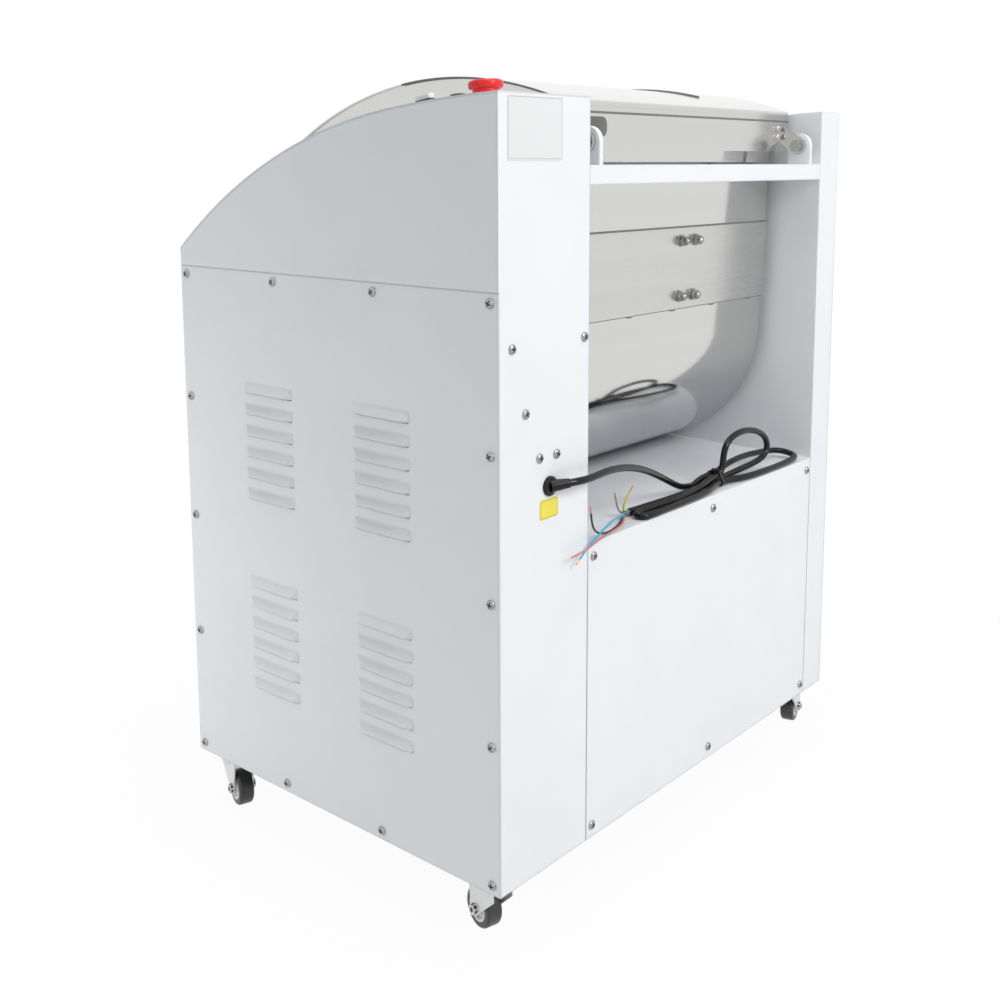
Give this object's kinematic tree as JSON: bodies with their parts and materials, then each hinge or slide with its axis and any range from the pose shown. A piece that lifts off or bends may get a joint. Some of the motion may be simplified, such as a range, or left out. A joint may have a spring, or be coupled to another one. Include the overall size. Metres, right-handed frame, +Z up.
{
  "type": "horizontal dough mixer",
  "caption": "Floor-standing horizontal dough mixer: tilting U-shaped steel bowl with mixing arms between white towers, curved hinged lid, geared drive and swivel castors.",
  "frame": {"origin": "on the floor, under the middle of the body without its cable", "axes": "+Z up, -Y the operator's front, +X towards the wide drive tower"},
  "size_m": [0.7953, 0.5979, 1.005],
  "materials": {
    "white_coat": "satin powder coat",
    "stainless": "brushed",
    "zinc": "bright zinc",
    "frame_paint": "satin",
    "steel": "machined",
    "cast_iron": "as cast",
    "motor_paint": "enamel",
    "rubber": "matte",
    "tyre": "matte",
    "hub": "matte",
    "red_plastic": "glossy",
    "black_plastic": "satin",
    "grey_plastic": "satin",
    "bezel": "polished",
    "cores": "coloured cores"
  },
  "bodies": {
    "frame": {"base_frame": "frame_paint", "drive_tower_shell": "white_coat", "drive_side_cover": "white_coat", "control_fascia": "white_coat", "idle_tower_shell": "white_coat", "idle_side_cover": "white_coat", "base_tray": "white_coat", "rear_panel": "white_coat", "front_panel": "white_coat", "cover_screws": "zinc", "rear_beam": "white_coat", "bowl_stop_buffers": "rubber", "control_box": "grey_plastic", "lid_hinge_bolts": "zinc", "trunnion_housings": "cast_iron", "layshaft_bracket": "frame_paint", "layshaft_bearings": "steel", "drive_belts": "rubber", "motor_body": "motor_paint", "control_bezels": "bezel", "castor_plates": "zinc", "cable_grommet": "rubber", "power_cord": "rubber", "power_cord_hank": "rubber", "cable_tie": "black_plastic", "cord_cores": "cores"},
    "lid": {"lid_shell": "stainless", "lid_hinge_brackets": "stainless", "lid_handle": "stainless"},
    "bowl": {"bowl_shell": "stainless", "bowl_end_plates": "stainless", "bowl_doubler_plate": "stainless", "bowl_doubler_bolts": "zinc", "bowl_trunnions": "steel", "shaft_bearings": "steel", "shaft_seals": "rubber"},
    "agitator": {"mixing_shaft": "stainless", "mixing_arms": "stainless", "main_gear": "steel"},
    "layshaft": {"pinion_shaft": "steel", "driven_pulley": "cast_iron"},
    "motor_rotor": {"motor_shaft": "steel", "motor_pulley": "cast_iron"},
    "stop_push": {"stop_button": "red_plastic"},
    "start_push": {"start_button": "black_plastic"},
    "selector": {"selector_knob": "black_plastic"},
    "castor_drive_rear": {"castor_fork_drive_rear": "zinc"},
    "wheel_drive_rear": {"castor_hub_drive_rear": "hub", "castor_tyre_drive_rear": "tyre"},
    "castor_drive_front": {"castor_fork_drive_front": "zinc"},
    "wheel_drive_front": {"castor_hub_drive_front": "hub", "castor_tyre_drive_front": "tyre"},
    "castor_idle_rear": {"castor_fork_idle_rear": "zinc"},
    "wheel_idle_rear": {"castor_hub_idle_rear": "hub", "castor_tyre_idle_rear": "tyre"},
    "castor_idle_front": {"castor_fork_idle_front": "zinc"},
    "wheel_idle_front": {"castor_hub_idle_front": "hub", "castor_tyre_idle_front": "tyre"}
  },
  "joints": [
    {"name": "lid_hinge", "type": "hinge", "parent": "frame", "child": "lid", "pos_m": [0, 0.264, 0.924], "axis": [-1, 0, 0], "range_deg": [0, 95]},
    {"name": "bowl_tilt", "type": "hinge", "parent": "frame", "child": "bowl", "pos_m": [0, 0, 0.656], "axis": [1, 0, 0], "range_deg": [0, 85]},
    {"name": "agitator_turn", "type": "hinge", "parent": "frame", "child": "agitator", "pos_m": [0, 0, 0.656], "axis": [1, 0, 0], "continuous": true},
    {"name": "layshaft_turn", "type": "hinge", "parent": "frame", "child": "layshaft", "pos_m": [0, -0.1125, 0.506], "axis": [1, 0, 0], "continuous": true},
    {"name": "motor_turn", "type": "hinge", "parent": "frame", "child": "motor_rotor", "pos_m": [0, 0.04, 0.19], "axis": [1, 0, 0], "continuous": true},
    {"name": "stop_press", "type": "slide", "parent": "frame", "child": "stop_push", "axis": [0, 0.0866, -0.9962], "range_m": [0, 0.004], "stiffness_N_per_m": 600, "springref_m": -0.002},
    {"name": "start_press", "type": "slide", "parent": "frame", "child": "start_push", "axis": [0, 0.1081, -0.9941], "range_m": [0, 0.0025], "stiffness_N_per_m": 500, "springref_m": -0.002},
    {"name": "selector_turn", "type": "hinge", "parent": "frame", "child": "selector", "pos_m": [0.309, 0.104, 0.95759], "axis": [0, -0.1526, 0.9883], "range_deg": [-45, 45]},
    {"name": "swivel_drive_rear", "type": "hinge", "parent": "frame", "child": "castor_drive_rear", "pos_m": [0.356, 0.246, 0], "axis": [0, 0, 1], "continuous": true},
    {"name": "roll_drive_rear", "type": "hinge", "parent": "castor_drive_rear", "child": "wheel_drive_rear", "pos_m": [0.35082, 0.22668, 0.025], "axis": [0.9659, -0.2588, 0], "continuous": true},
    {"name": "swivel_drive_front", "type": "hinge", "parent": "frame", "child": "castor_drive_front", "pos_m": [0.356, -0.246, 0], "axis": [0, 0, 1], "continuous": true},
    {"name": "roll_drive_front", "type": "hinge", "parent": "castor_drive_front", "child": "wheel_drive_front", "pos_m": [0.36218, -0.22698, 0.025], "axis": [-0.9511, 0.309, 0], "continuous": true},
    {"name": "swivel_idle_rear", "type": "hinge", "parent": "frame", "child": "castor_idle_rear", "pos_m": [-0.356, 0.246, 0], "axis": [0, 0, 1], "continuous": true},
    {"name": "roll_idle_rear", "type": "hinge", "parent": "castor_idle_rear", "child": "wheel_idle_rear", "pos_m": [-0.37532, 0.24082, 0.025], "axis": [0.2588, -0.9659, 0], "continuous": true},
    {"name": "swivel_idle_front", "type": "hinge", "parent": "frame", "child": "castor_idle_front", "pos_m": [-0.356, -0.246, 0], "axis": [0, 0, 1], "continuous": true},
    {"name": "roll_idle_front", "type": "hinge", "parent": "castor_idle_front", "child": "wheel_idle_front", "pos_m": [-0.36886, -0.26132, 0.025], "axis": [0.766, -0.6428, 0], "continuous": true}
  ],
  "couplings": [
    {"joint": "layshaft_turn", "follows": "agitator_turn", "ratio": -4},
    {"joint": "motor_turn", "follows": "agitator_turn", "ratio": -11.892}
  ]
}
